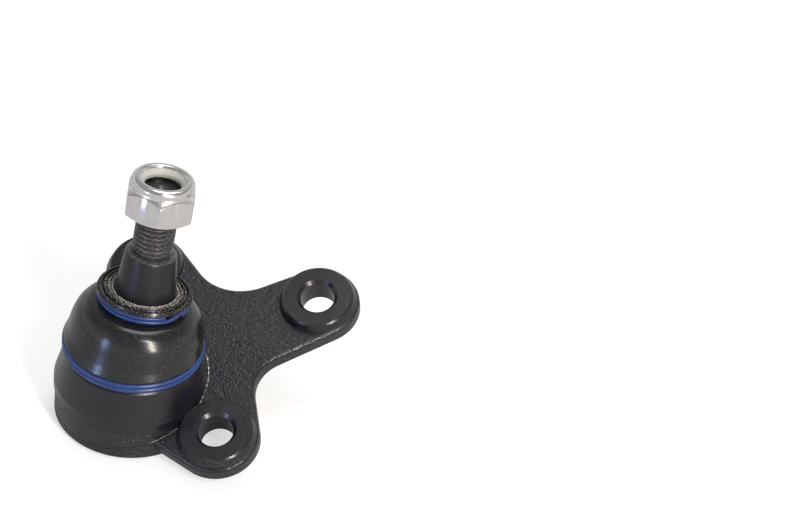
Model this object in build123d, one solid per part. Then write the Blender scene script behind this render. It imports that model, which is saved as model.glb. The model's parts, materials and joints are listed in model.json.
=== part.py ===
"""Suspension ball joint with a three-hole flange, in millimetres.

Origin: the ball's centre. +Z: the housing's axis, towards the stud. +X: the way the flange rises.
The flange and the stud both lean from the housing's axis, each by its own named angle.
"""
from build123d import *
from math import cos, hypot, radians, sin, sqrt, tan
import os

# ---- Driving dimensions -----------------------------------------------------------------------
# Ball stud: stations run along the stud from the ball's centre
BALL_RADIUS = 12.5
NECK_RADIUS = 7.0
NECK_END = 15.5
NECK_ROUND = 1.5
SEAL_SEAT_RADIUS = 9.0
SEAL_SEAT_START = 20.5
SEAL_SEAT_END = 28.0
TAPER_END = 41.5
TAPER_END_RADIUS = 7.65
THREAD_RADIUS = 6.0
THREAD_LENGTH = 21.0
THREAD_CHAMFER = 1.0
UNDERCUT_RADIUS = 5.2
UNDERCUT_LENGTH = 1.6
STUD_LEAN = 9.0
STUD_LEAN_AZIMUTH = 9.0

# Lock nut and its nylon insert
NUT_ACROSS_FLATS = 19.0
NUT_HEIGHT = 11.7
NUT_HEX_HEIGHT = 8.6
NUT_EDGE_ANGLE = 30.0
NUT_EDGE_RADIUS = 9.4
NUT_COLLAR_RADIUS = 9.3
NUT_COLLAR_ROUND = 1.6
NUT_START = 54.8
NUT_TURN = 28.0
NUT_THREAD_CLEARANCE = 0.05
NUT_COUNTERSINK = 0.8
INSERT_RADIUS = 7.3
INSERT_BORE_RADIUS = 5.3
INSERT_HEIGHT = 2.6
INSERT_COVER = 0.6
INSERT_MOUTH_RADIUS = 6.9
INSERT_CLEARANCE = 0.03

# Housing
WALL_FOOT_RADIUS = 22.3
WALL_RADIUS = 22.5
MACHINED_RADIUS = 22.9
LEDGE_Z = -5.5
TOP_CONE_START = -2.5
TOP_CONE_RADIUS = 20.3
SHOULDER_Z = 8.4
SHOULDER_ROUND = 0.6
HOUSING_BOTTOM = -16.0
BOTTOM_EDGE_CHAMFER = 0.6
BOOT_NECK_RADIUS = 17.6
BOOT_NECK_HEIGHT = 3.4
BOOT_BEAD_FLANGE_RADIUS = 18.3
BOOT_BEAD_FLANGE_HEIGHT = 1.2
BORE_CLOSES_Z = 3.4
MOUTH_OVERHANG = 1.3
MOUTH_Z = 7.0
MOUTH_FLARE_RADIUS = 16.4
RING_SEAT_WIDTH = 1.25
LIP_BOTTOM = -17.2
LIP_OVERLAP = 1.65
LIP_THICKNESS = 2.0
LIP_WALL = 1.25
LIP_ROUND = 0.8
GROOVE_OUTER_RADIUS = 20.0
GROOVE_DEPTH = 1.1

# Closing ring and bearing shells
RING_THICKNESS = 1.8
RING_HOLE_RADIUS = 10.1
RING_CLEARANCE = 0.03
SHELL_WALL = 2.9
SHELL_SPLIT_Z = -1.0
SHELL_SPLIT_GAP = 0.2
BALL_CLEARANCE = 0.04
SHELL_CLEARANCE = 0.03
SHELL_END_GAP = 0.5
DOME_RISE = 1.9
DOME_CLEARANCE = 0.1
GREASE_POCKET_RADIUS = 4.0
GREASE_POCKET_DEPTH = 2.2

# Flange, in its own plane: u up the slope, v across it, w along the bolt holes
FLANGE_TILT = 18.0
FLANGE_BOTTOM = -10.1
FLANGE_THICKNESS = 5.5
HOLE_A = (33.5, 23.1)
HOLE_B = (53.0, -29.1)
HOLE_C = (-1.8, -33.3)
LOBE_RADIUS = 12.7
HOLE_RADIUS = 5.25
HOLE_TOP_CHAMFER = 1.0
HOLE_BOTTOM_CHAMFER = 0.5
BOSS_RADIUS = 11.0
BOSS_HEIGHT = 2.6
BOSS_FLANK = 0.9
BOSS_EDGE_ROUND = 0.5
PAD_RADIUS = 11.3
PAD_HEIGHT = 0.4
# Valleys of the plan, where the straight flanks of two lobes would meet, and their rounding
VALLEY_A_B = (37.0, -4.4)
VALLEY_A_B_RADIUS = 16.0
VALLEY_B_C = (22.0, -27.5)
VALLEY_B_C_RADIUS = 12.0
VALLEY_HOUSING_A = (13.7, 21.8)
VALLEY_HOUSING_A_RADIUS = 20.0
VALLEY_C_HOUSING = (-14.3, -16.0)
PLATE_EDGE_ROUND = 1.5
# Cove under the plate: radius and height of its foot on the housing, of its waist and of its far edge
COVE_FOOT = (20.8, -16.0)
COVE_WAIST = (23.6, -9.0)
COVE_EDGE = (34.0, 1.0)
COVE_PAD_GAP = 0.6

# Dust boot
BOOT_WALL = 1.9
BOOT_SEAT_GAP = 0.1
BOOT_FOOT_RADIUS = 20.2
BOOT_FOOT_HEIGHT = 0.5
BOOT_BAND_RADIUS = 19.55
BOOT_SHELL_START = 13.2
# Outline of the dome: height, share of the stud's offset, share of its lean, radius
BOOT_SECTIONS = [
    (13.2, 0.0, 0.0, 20.6),
    (14.6, 0.6, 0.2, 20.1),
    (17.2, 0.7, 0.5, 19.9),
    (20.2, 0.7, 0.8, 18.8),
    (22.2, 0.7, 1.0, 17.4),
    (23.4, 0.7, 1.0, 16.1),
    (24.0, 0.7, 1.0, 14.9),
]
COLLAR_START = 22.4
COLLAR_END = 28.2
COLLAR_RADIUS = 14.1
COLLAR_RIM_HEIGHT = 0.6
COLLAR_BAND_RADIUS = 12.6
COLLAR_SEAL_CLEARANCE = 0.06
RIDGE_COUNT = 4
RIDGE_INSET = 0.6
RIDGE_PITCH = 1.15
RIDGE_HEIGHT = 0.6
RIDGE_ROOT_WIDTH = 0.75
RIDGE_CREST_WIDTH = 0.3

# Spring rings of plastic-coated wire: two flat turns with a short crossing between them
LOWER_WIRE_RADIUS = 0.75
UPPER_WIRE_RADIUS = 0.62
WIRE_TURN_GAP = 0.05
WIRE_SEAT_GAP = 0.05
CROSSING_HALF_ANGLE = 12.0
WIRE_END_GAP_ANGLE = 3.0
WIRE_SIDE_GAP = 0.17
LOWER_CROSSING_AZIMUTH = 60.0
UPPER_CROSSING_AZIMUTH = -108.0

# ---- Radii that follow the ball -----------------------------------------------------------------
bearing_bore_radius = BALL_RADIUS + SHELL_WALL
ring_pocket_radius = bearing_bore_radius + RING_SEAT_WIDTH
lip_outer_radius = ring_pocket_radius + LIP_WALL
mouth_radius = BALL_RADIUS - MOUTH_OVERHANG

# ---- Frames -----------------------------------------------------------------------------------
lean = radians(STUD_LEAN)
azimuth = radians(STUD_LEAN_AZIMUTH)
stud_direction = (sin(lean) * cos(azimuth), sin(lean) * sin(azimuth), cos(lean))
swing_direction = (cos(lean) * cos(azimuth), cos(lean) * sin(azimuth), -sin(lean))
stud_frame = Plane(origin=(0, 0, 0), x_dir=swing_direction, z_dir=stud_direction)

tilt = radians(FLANGE_TILT)
flange_frame = Plane(
    origin=(0, 0, 0), x_dir=(cos(tilt), 0, sin(tilt)), z_dir=(-sin(tilt), 0, cos(tilt))
)


def turned(*points):
    """A solid of revolution about Z through the given (radius, height) points."""
    outline = Polyline(*[(radius, 0, height) for radius, height in points], close=True)
    return revolve(make_face(outline), Axis.Z)


def tube(outer, inner, bottom, top):
    """A plain ring about Z."""
    return turned((inner, bottom), (outer, bottom), (outer, top), (inner, top))


def is_circle(edge, radius):
    return edge.geom_type == GeomType.CIRCLE and abs(edge.radius - radius) < 0.001


def band_height(wire_radius):
    """Height of a band that holds two turns of wire with a little room on both sides."""
    return 4 * wire_radius + WIRE_TURN_GAP + 2 * WIRE_SIDE_GAP


def spring_ring(band_radius, wire_radius, centre, crossing_azimuth):
    """Two turns of wire about Z on a band, centred at a height, crossing over at an azimuth."""
    radius = band_radius + WIRE_SEAT_GAP + wire_radius
    half_pitch = wire_radius + WIRE_TURN_GAP / 2
    first_start = crossing_azimuth + CROSSING_HALF_ANGLE + WIRE_END_GAP_ANGLE
    first_sweep = 360 - 2 * CROSSING_HALF_ANGLE - WIRE_END_GAP_ANGLE
    second_start = crossing_azimuth + CROSSING_HALF_ANGLE
    first_turn = CenterArc((0, 0, centre - half_pitch), radius, first_start, first_sweep)
    second_turn = CenterArc((0, 0, centre + half_pitch), radius, second_start, first_sweep)
    crossing = Spline(
        first_turn @ 1, second_turn @ 0, tangents=(first_turn % 1, second_turn % 0)
    )
    path = Wire([first_turn, crossing, second_turn])
    return sweep((path ^ 0) * Circle(wire_radius), path=path)


# ---- Flange and housing, one forging ----------------------------------------------------------
def touching_point(corner, centre, side):
    """Where a line from the corner touches the lobe, on its left (side 1) or right (side -1)."""
    du = centre[0] - corner[0]
    dv = centre[1] - corner[1]
    span = hypot(du, dv)
    reach = sqrt(span ** 2 - LOBE_RADIUS ** 2)
    along = reach / span ** 2
    across = side * LOBE_RADIUS / span ** 2
    return (
        corner[0] + reach * (along * du - across * dv),
        corner[1] + reach * (along * dv + across * du),
    )


def flange_outline():
    """The plate's plan: a round lobe at each hole with straight flanks and rounded valleys.

    The plan ends under the housing's wall, so it needs no disc of its own there.
    """
    valleys = [VALLEY_C_HOUSING, VALLEY_B_C, VALLEY_A_B, VALLEY_HOUSING_A]
    lobes = [HOLE_C, HOLE_B, HOLE_A]
    corners = [valleys[0]]
    for index, lobe in enumerate(lobes):
        following = valleys[index + 1]
        corners += [
            touching_point(valleys[index], lobe, -1),
            lobe,
            touching_point(following, lobe, 1),
            following,
        ]
    middle = FLANGE_BOTTOM + FLANGE_THICKNESS / 2
    corners.append((middle * tan(tilt), VALLEY_HOUSING_A[1]))
    plan = make_face(Polyline(*corners, close=True))
    for lobe in lobes:
        plan += Pos(*lobe) * Circle(LOBE_RADIUS)
    rounded = [
        (VALLEY_A_B, VALLEY_A_B_RADIUS),
        (VALLEY_B_C, VALLEY_B_C_RADIUS),
        (VALLEY_HOUSING_A, VALLEY_HOUSING_A_RADIUS),
    ]
    for valley, radius in rounded:
        plan = fillet(plan.vertices().sort_by_distance((*valley, 0))[0], radius)
    return plan


def flange_plate():
    """The plate with its raised spot faces, pads and bolt holes, in the flange's own frame."""
    plate = extrude(Pos(0, 0, FLANGE_BOTTOM) * flange_outline(), FLANGE_THICKNESS)
    rims = plate.edges().filter_by(Plane.XY)
    plate = fillet(rims, PLATE_EDGE_ROUND)
    top = FLANGE_BOTTOM + FLANGE_THICKNESS
    boss_top = top + BOSS_HEIGHT
    pad_bottom = FLANGE_BOTTOM - PAD_HEIGHT
    middle = FLANGE_BOTTOM + FLANGE_THICKNESS / 2
    for hole in (HOLE_A, HOLE_B, HOLE_C):
        boss = turned(
            (0, pad_bottom),
            (PAD_RADIUS - PAD_HEIGHT, pad_bottom),
            (PAD_RADIUS, FLANGE_BOTTOM),
            (PAD_RADIUS, middle),
            (BOSS_RADIUS + BOSS_FLANK, middle),
            (BOSS_RADIUS + BOSS_FLANK, top),
            (BOSS_RADIUS, boss_top - BOSS_EDGE_ROUND),
            (BOSS_RADIUS - BOSS_EDGE_ROUND, boss_top),
            (0, boss_top),
        )
        plate += Pos(*hole) * boss
    for hole in (HOLE_A, HOLE_B, HOLE_C):
        drill = turned(
            (0, pad_bottom - 1),
            (HOLE_RADIUS + HOLE_BOTTOM_CHAMFER + 1, pad_bottom - 1),
            (HOLE_RADIUS, pad_bottom + HOLE_BOTTOM_CHAMFER),
            (HOLE_RADIUS, boss_top - HOLE_TOP_CHAMFER),
            (HOLE_RADIUS + HOLE_TOP_CHAMFER + 1, boss_top + 1),
            (0, boss_top + 1),
        )
        plate -= Pos(*hole) * drill
    return plate


def plate_cove():
    """The hollow that carries the housing's bottom edge over into the plate's underside.

    It lies within the plate's plan and stops at the pads.
    """
    foot_radius, foot_z = COVE_FOOT
    edge_radius, edge_z = COVE_EDGE
    hollow = ThreePointArc(
        (foot_radius, 0, foot_z), (COVE_WAIST[0], 0, COVE_WAIST[1]), (edge_radius, 0, edge_z)
    )
    rest = Polyline(
        (edge_radius, 0, edge_z), (0, 0, edge_z), (0, 0, foot_z), (foot_radius, 0, foot_z)
    )
    cone = revolve(make_face([hollow, rest]), Axis.Z)
    depth = FLANGE_BOTTOM - foot_z + edge_radius * tan(tilt)
    middle = FLANGE_BOTTOM + FLANGE_THICKNESS / 2
    plan = extrude(Pos(0, 0, middle - depth) * flange_outline(), depth)
    for hole in (HOLE_A, HOLE_B, HOLE_C):
        plan -= Pos(hole[0], hole[1], FLANGE_BOTTOM - depth / 2) * Cylinder(
            PAD_RADIUS + COVE_PAD_GAP, depth
        )
    return (flange_frame * plan) & cone


def make_flange_housing():
    ring_seat_z = LIP_BOTTOM + LIP_THICKNESS + RING_THICKNESS
    lip_inner_radius = ring_pocket_radius - LIP_OVERLAP
    neck_top = SHOULDER_Z + BOOT_NECK_HEIGHT
    housing_top = neck_top + BOOT_BEAD_FLANGE_HEIGHT
    body = turned(
        (0, HOUSING_BOTTOM),
        (WALL_FOOT_RADIUS - BOTTOM_EDGE_CHAMFER, HOUSING_BOTTOM),
        (WALL_FOOT_RADIUS, HOUSING_BOTTOM + BOTTOM_EDGE_CHAMFER),
        (WALL_RADIUS, LEDGE_Z),
        (MACHINED_RADIUS, LEDGE_Z),
        (MACHINED_RADIUS, TOP_CONE_START),
        (TOP_CONE_RADIUS, SHOULDER_Z - SHOULDER_ROUND),
        (TOP_CONE_RADIUS - SHOULDER_ROUND, SHOULDER_Z),
        (BOOT_NECK_RADIUS, SHOULDER_Z),
        (BOOT_NECK_RADIUS, neck_top),
        (BOOT_BEAD_FLANGE_RADIUS, neck_top),
        (BOOT_BEAD_FLANGE_RADIUS, housing_top),
        (0, housing_top),
    )
    lip = turned(
        (0, LIP_BOTTOM),
        (lip_outer_radius - LIP_ROUND, LIP_BOTTOM),
        (lip_outer_radius, LIP_BOTTOM + LIP_ROUND),
        (lip_outer_radius, ring_seat_z),
        (0, ring_seat_z),
    )
    groove = tube(
        GROOVE_OUTER_RADIUS, lip_outer_radius, HOUSING_BOTTOM - 1, HOUSING_BOTTOM + GROOVE_DEPTH
    )
    bore = turned(
        (0, LIP_BOTTOM - 1),
        (lip_inner_radius + 1, LIP_BOTTOM - 1),
        (lip_inner_radius, LIP_BOTTOM + LIP_ROUND),
        (lip_inner_radius, LIP_BOTTOM + LIP_THICKNESS),
        (ring_pocket_radius, LIP_BOTTOM + LIP_THICKNESS),
        (ring_pocket_radius, ring_seat_z),
        (bearing_bore_radius, ring_seat_z),
        (bearing_bore_radius, BORE_CLOSES_Z),
        (mouth_radius, MOUTH_Z),
        (MOUTH_FLARE_RADIUS, housing_top),
        (MOUTH_FLARE_RADIUS, housing_top + 1),
        (0, housing_top + 1),
    )
    return flange_frame * flange_plate() + plate_cove() + body - groove + lip - bore


# ---- Ball stud --------------------------------------------------------------------------------
def make_ball_stud():
    thread_end = TAPER_END + THREAD_LENGTH
    undercut_end = TAPER_END + UNDERCUT_LENGTH
    shank = turned(
        (0, 0),
        (NECK_RADIUS, 0),
        (NECK_RADIUS, NECK_END),
        (SEAL_SEAT_RADIUS, SEAL_SEAT_START),
        (SEAL_SEAT_RADIUS, SEAL_SEAT_END),
        (TAPER_END_RADIUS, TAPER_END),
        (UNDERCUT_RADIUS, TAPER_END),
        (UNDERCUT_RADIUS, undercut_end),
        (THREAD_RADIUS, undercut_end + THREAD_RADIUS - UNDERCUT_RADIUS),
        (THREAD_RADIUS, thread_end - THREAD_CHAMFER),
        (THREAD_RADIUS - THREAD_CHAMFER, thread_end),
        (0, thread_end),
    )
    stud = Sphere(BALL_RADIUS) + shank
    neck_circles = stud.edges().filter_by(lambda edge: is_circle(edge, NECK_RADIUS))
    return stud_frame * fillet(neck_circles.sort_by(Axis.Z)[0], NECK_ROUND)


# ---- Bearing shells and closing ring -----------------------------------------------------------
def make_upper_bearing_shell():
    """The upper half of the plastic race, up to where the housing closes in over it."""
    top = MOUTH_Z - SHELL_END_GAP
    closing_slope = (bearing_bore_radius - mouth_radius) / (MOUTH_Z - BORE_CLOSES_Z)
    radius = bearing_bore_radius - SHELL_CLEARANCE
    cone_clearance = SHELL_CLEARANCE * (1 + closing_slope)
    top_radius = bearing_bore_radius - closing_slope * (top - BORE_CLOSES_Z) - cone_clearance
    bottom = SHELL_SPLIT_Z + SHELL_SPLIT_GAP / 2
    blank = turned(
        (0, bottom),
        (radius, bottom),
        (radius, BORE_CLOSES_Z - SHELL_CLEARANCE),
        (top_radius, top),
        (0, top),
    )
    return blank - Sphere(BALL_RADIUS + BALL_CLEARANCE)


def make_lower_bearing_shell():
    """The lower half of the race, with the dome that shows through the closing ring."""
    top = SHELL_SPLIT_Z - SHELL_SPLIT_GAP / 2
    ring_inner_face = LIP_BOTTOM + LIP_THICKNESS + RING_THICKNESS
    ring_outer_face = LIP_BOTTOM + LIP_THICKNESS
    radius = bearing_bore_radius - SHELL_CLEARANCE
    foot = ring_inner_face + RING_CLEARANCE
    dome_radius = RING_HOLE_RADIUS - DOME_CLEARANCE
    race = turned((0, foot), (radius, foot), (radius, top), (0, top))
    sphere_radius = (dome_radius ** 2 + DOME_RISE ** 2) / (2 * DOME_RISE)
    dome = Pos(0, 0, ring_outer_face - DOME_RISE + sphere_radius) * Sphere(sphere_radius)
    dome &= Pos(0, 0, (foot + ring_outer_face - DOME_RISE) / 2) * Cylinder(
        dome_radius, foot - ring_outer_face + DOME_RISE
    )
    pocket_bottom = -BALL_RADIUS - GREASE_POCKET_DEPTH
    pocket = Pos(0, 0, pocket_bottom / 2) * Cylinder(GREASE_POCKET_RADIUS, -pocket_bottom)
    return race + dome - Sphere(BALL_RADIUS + BALL_CLEARANCE) - pocket


def make_closing_ring():
    outer_face = LIP_BOTTOM + LIP_THICKNESS + RING_CLEARANCE
    inner_face = LIP_BOTTOM + LIP_THICKNESS + RING_THICKNESS
    return tube(ring_pocket_radius - RING_CLEARANCE, RING_HOLE_RADIUS, outer_face, inner_face)


# ---- Dust boot --------------------------------------------------------------------------------
def boot_form(inset, last):
    """The dome's skin moved inwards by inset, through its sections up to the one numbered last."""
    rings = []
    for height, offset_share, lean_share, radius in BOOT_SECTIONS[:last]:
        centre = (
            height * stud_direction[0] / stud_direction[2] * offset_share,
            height * stud_direction[1] / stud_direction[2] * offset_share,
            height,
        )
        turn = lean * lean_share
        normal = (sin(turn) * cos(azimuth), sin(turn) * sin(azimuth), cos(turn))
        across = (cos(turn) * cos(azimuth), cos(turn) * sin(azimuth), -sin(turn))
        section = Plane(origin=centre, x_dir=across, z_dir=normal)
        rings.append(section * Circle(radius - inset))
    return loft(rings)


def make_dust_boot():
    foot = SHOULDER_Z + BOOT_SEAT_GAP
    bead_top = SHOULDER_Z + BOOT_NECK_HEIGHT
    band_start = foot + BOOT_FOOT_HEIGHT
    band_end = band_start + band_height(LOWER_WIRE_RADIUS)
    bead_bore = BOOT_NECK_RADIUS + BOOT_SEAT_GAP
    shell_bore = BOOT_BEAD_FLANGE_RADIUS + BOOT_SEAT_GAP
    dome_base = BOOT_SECTIONS[0][3]
    bead = turned(
        (bead_bore, foot),
        (BOOT_FOOT_RADIUS, foot),
        (BOOT_FOOT_RADIUS, band_start),
        (BOOT_BAND_RADIUS, band_start),
        (BOOT_BAND_RADIUS, band_end),
        (dome_base, band_end),
        (dome_base, BOOT_SHELL_START),
        (shell_bore, BOOT_SHELL_START),
        (shell_bore, bead_top - BOOT_SEAT_GAP),
        (bead_bore, bead_top - BOOT_SEAT_GAP),
    )
    dome = boot_form(0, len(BOOT_SECTIONS)) - boot_form(BOOT_WALL, len(BOOT_SECTIONS) - 2)
    collar_bore = SEAL_SEAT_RADIUS + COLLAR_SEAL_CLEARANCE
    rim_start = COLLAR_END - COLLAR_RIM_HEIGHT
    collar = turned(
        (collar_bore, COLLAR_START),
        (COLLAR_BAND_RADIUS, COLLAR_START),
        (COLLAR_BAND_RADIUS, rim_start),
        (COLLAR_RADIUS, rim_start),
        (COLLAR_RADIUS, COLLAR_END),
        (collar_bore, COLLAR_END),
    )
    for index in range(RIDGE_COUNT):
        crest = collar_bore + RIDGE_INSET + RIDGE_PITCH * index
        collar += turned(
            (crest - RIDGE_ROOT_WIDTH / 2, rim_start),
            (crest + RIDGE_ROOT_WIDTH / 2, rim_start),
            (crest + RIDGE_CREST_WIDTH / 2, COLLAR_END + RIDGE_HEIGHT),
            (crest - RIDGE_CREST_WIDTH / 2, COLLAR_END + RIDGE_HEIGHT),
        )
    bore = Cylinder(collar_bore, 2 * COLLAR_END)
    return bead + dome - stud_frame * bore + stud_frame * collar


def make_boot_lower_ring():
    band_start = SHOULDER_Z + BOOT_SEAT_GAP + BOOT_FOOT_HEIGHT
    centre = band_start + band_height(LOWER_WIRE_RADIUS) / 2
    return spring_ring(BOOT_BAND_RADIUS, LOWER_WIRE_RADIUS, centre, LOWER_CROSSING_AZIMUTH)


def make_boot_upper_ring():
    centre = COLLAR_END - COLLAR_RIM_HEIGHT - band_height(UPPER_WIRE_RADIUS) / 2
    return stud_frame * spring_ring(
        COLLAR_BAND_RADIUS, UPPER_WIRE_RADIUS, centre, UPPER_CROSSING_AZIMUTH
    )


# ---- Lock nut ---------------------------------------------------------------------------------
def nut_place():
    return stud_frame * Pos(0, 0, NUT_START) * Rot(0, 0, NUT_TURN)


def make_lock_nut():
    corner_radius = NUT_ACROSS_FLATS / 2 / cos(radians(30))
    edge_drop = (corner_radius - NUT_EDGE_RADIUS) * tan(radians(NUT_EDGE_ANGLE))
    hexagon = extrude(RegularPolygon(corner_radius, 6), NUT_HEX_HEIGHT)
    envelope = turned(
        (0, 0),
        (NUT_EDGE_RADIUS, 0),
        (corner_radius, edge_drop),
        (corner_radius, NUT_HEX_HEIGHT - edge_drop),
        (NUT_EDGE_RADIUS, NUT_HEX_HEIGHT),
        (0, NUT_HEX_HEIGHT),
    )
    collar = Pos(0, 0, NUT_HEIGHT / 2) * Cylinder(NUT_COLLAR_RADIUS, NUT_HEIGHT)
    collar = fillet(collar.edges().filter_by(GeomType.CIRCLE).sort_by(Axis.Z)[-1], NUT_COLLAR_ROUND)
    bore_radius = THREAD_RADIUS + NUT_THREAD_CLEARANCE
    pocket_top = NUT_HEIGHT - INSERT_COVER
    pocket_bottom = pocket_top - INSERT_HEIGHT
    bore = turned(
        (0, -1),
        (bore_radius + NUT_COUNTERSINK + 1, -1),
        (bore_radius, NUT_COUNTERSINK),
        (bore_radius, pocket_bottom),
        (INSERT_RADIUS, pocket_bottom),
        (INSERT_RADIUS, pocket_top),
        (INSERT_MOUTH_RADIUS, pocket_top),
        (INSERT_MOUTH_RADIUS, NUT_HEIGHT + 1),
        (0, NUT_HEIGHT + 1),
    )
    return nut_place() * ((hexagon & envelope) + collar - bore)


def make_nut_insert():
    top = NUT_HEIGHT - INSERT_COVER - INSERT_CLEARANCE
    bottom = NUT_HEIGHT - INSERT_COVER - INSERT_HEIGHT
    return nut_place() * tube(INSERT_RADIUS - INSERT_CLEARANCE, INSERT_BORE_RADIUS, bottom, top)


nodes = {
    "flange_housing": make_flange_housing,
    "ball_stud": make_ball_stud,
    "upper_bearing_shell": make_upper_bearing_shell,
    "lower_bearing_shell": make_lower_bearing_shell,
    "closing_ring": make_closing_ring,
    "dust_boot": make_dust_boot,
    "boot_lower_ring": make_boot_lower_ring,
    "boot_upper_ring": make_boot_upper_ring,
    "lock_nut": make_lock_nut,
    "nut_insert": make_nut_insert,
}

os.makedirs("parts", exist_ok=True)
for name, make in nodes.items():
    export_step(make(), f"parts/{name}.step")
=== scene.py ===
"""Looks of a suspension ball joint: detailed pieces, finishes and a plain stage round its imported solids."""
import json
import math

import bmesh
import bpy
import numpy as np
from mathutils import Matrix, Vector


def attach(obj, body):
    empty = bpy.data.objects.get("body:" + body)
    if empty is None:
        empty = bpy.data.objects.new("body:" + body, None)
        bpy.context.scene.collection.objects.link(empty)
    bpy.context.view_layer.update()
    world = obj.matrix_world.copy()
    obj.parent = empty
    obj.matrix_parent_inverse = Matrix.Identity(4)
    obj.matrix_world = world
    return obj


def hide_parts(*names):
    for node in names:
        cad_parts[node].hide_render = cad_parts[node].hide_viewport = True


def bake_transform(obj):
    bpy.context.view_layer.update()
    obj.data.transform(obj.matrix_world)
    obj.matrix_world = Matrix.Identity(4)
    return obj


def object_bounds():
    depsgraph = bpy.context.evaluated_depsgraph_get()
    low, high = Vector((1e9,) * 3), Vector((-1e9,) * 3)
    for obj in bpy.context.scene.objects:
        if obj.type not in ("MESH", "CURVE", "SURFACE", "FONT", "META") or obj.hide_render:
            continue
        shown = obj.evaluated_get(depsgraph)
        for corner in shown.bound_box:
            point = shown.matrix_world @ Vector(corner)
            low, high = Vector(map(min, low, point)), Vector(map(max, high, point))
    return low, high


bl_info = {
    "name": "Suspension Ball Joint",
    "version": (1, 0, 0),
    "blender": (4, 5, 0),
    "location": "View3D > Sidebar > Ball Joint",
    "description": "Builds the pieces, finishes and stage of a suspension ball joint",
    "category": "Add Mesh",
}

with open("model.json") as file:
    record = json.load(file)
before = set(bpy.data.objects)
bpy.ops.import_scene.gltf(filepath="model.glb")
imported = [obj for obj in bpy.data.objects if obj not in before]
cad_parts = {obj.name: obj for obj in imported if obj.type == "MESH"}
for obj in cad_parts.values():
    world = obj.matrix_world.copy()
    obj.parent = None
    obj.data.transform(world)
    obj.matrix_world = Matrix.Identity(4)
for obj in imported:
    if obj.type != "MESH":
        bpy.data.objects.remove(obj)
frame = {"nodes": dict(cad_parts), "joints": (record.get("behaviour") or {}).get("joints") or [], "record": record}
cad_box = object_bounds()

MM = 0.001

# The stud and its nut in millimetres, with heights along the stud from the ball's centre
BALL_RADIUS = 12.5
CONE_END = 41.3
THREAD_RADIUS = 6.0
THREAD_START = 42.2
THREAD_END = 62.4
NUT_START = 54.8
NUT_BORE = 6.05
NUT_TURN = math.radians(28.0)

# The housing in millimetres: seat, ledge and lip on its axis, the plate along the flange's normal
SEAT_RADIUS = 22.9
LEDGE_HEIGHT = -5.5
LIP_RADIUS = 16.75
LIP_HEIGHT = -15.6
PLATE_TOP = -4.6

# The floor's own glow to the camera and in reflections, and the light of the room on the object,
# which is also how bright its ceiling is in reflections
FLOOR_GLOW = 0.58
FLOOR_REFLECTED = 0.12
ROOM_LIGHT = 0.4


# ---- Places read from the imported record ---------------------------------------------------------
joints = {joint["name"]: joint for joint in frame["joints"]}
mounts = {mount["name"]: mount for mount in frame["record"]["mounts"]}

stud_axis = np.array(joints["stud_spin"]["axis"])
swing_axis = np.array(joints["stud_swing"]["axis"])
stud_basis = np.column_stack([np.cross(swing_axis, stud_axis), swing_axis, stud_axis])
flange_normal = np.array(mounts["bolt_hole_a"]["axis"])
flange_basis = np.column_stack(
    [np.cross((0, 1, 0), flange_normal), np.array((0.0, 1.0, 0.0)), flange_normal]
)
stud_lean = math.acos(stud_axis[2])


def in_flange(point):
    """A point of the row frame, in metres, as millimetres in the flange's own frame."""
    return np.asarray(point) @ flange_basis / MM


bolt_holes = {
    letter: in_flange(mounts[f"bolt_hole_{letter}"]["pos_m"]) for letter in "abc"
}
hole_radius = mounts["bolt_hole_a"]["dims"]["r_mm"]


# ---- Colours --------------------------------------------------------------------------------------
def linear(hex_colour):
    """An sRGB hex colour as linear red, green, blue and alpha."""
    channels = [int(hex_colour[start:start + 2], 16) / 255 for start in (1, 3, 5)]
    return tuple(
        c / 12.92 if c <= 0.04045 else ((c + 0.055) / 1.055) ** 2.4 for c in channels
    ) + (1.0,)


def colour_property(name, description, hex_colour):
    return bpy.props.FloatVectorProperty(
        name=name,
        description=description,
        subtype="COLOR",
        size=4,
        min=0.0,
        max=1.0,
        default=linear(hex_colour),
    )


def length_property(name, description, millimetres):
    return bpy.props.FloatProperty(
        name=name,
        description=description,
        default=millimetres * MM,
        min=0.0,
        unit="LENGTH",
        precision=5,
    )


class BallJointSizes(bpy.types.PropertyGroup):
    """Sizes that the detailed pieces add to the solids."""

    thread_pitch: length_property("Thread pitch", "Pitch of the stud's M12 thread", 1.5)
    thread_depth: length_property("Thread depth", "Radial depth of the stud's thread", 0.86)
    nut_across_flats: length_property("Nut across flats", "Spanner size of the lock nut", 19.0)
    nut_corner_round: length_property(
        "Nut corner round", "How far the nut's upright corners are worn in", 0.07
    )
    knurl_pitch: length_property("Knurl pitch", "Distance between the ridges on the pads", 1.3)
    knurl_height: length_property("Knurl height", "Height of the pads' diamond points", 0.22)
    ridge_pitch: length_property(
        "Labyrinth pitch", "Distance between the ridges on the boot's collar", 1.15
    )
    seam_burr: length_property(
        "Seam burr", "Radius of the burr where the seat meets the plate, at its thickest", 0.42
    )


class BallJointColours(bpy.types.PropertyGroup):
    """Base colours of the finishes."""

    paint: colour_property("Paint", "Black dip paint on the forging", "#0e0d12")
    phosphate: colour_property("Phosphate", "Phosphated steel of the closing ring", "#8a847c")
    stud: colour_property("Stud", "Blackened steel of the stud", "#1f1e21")
    zinc: colour_property("Zinc", "Bright zinc plate on the nut", "#d2d0ce")
    nylon: colour_property("Nylon", "Natural nylon of the nut's ring", "#b0afac")
    rubber: colour_property("Rubber", "Chloroprene of the dust boot", "#151517")
    wire: colour_property("Wire", "Blue coating of the spring rings", "#223a72")
    acetal: colour_property("Acetal", "Black acetal of the race", "#0e0e10")


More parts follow.
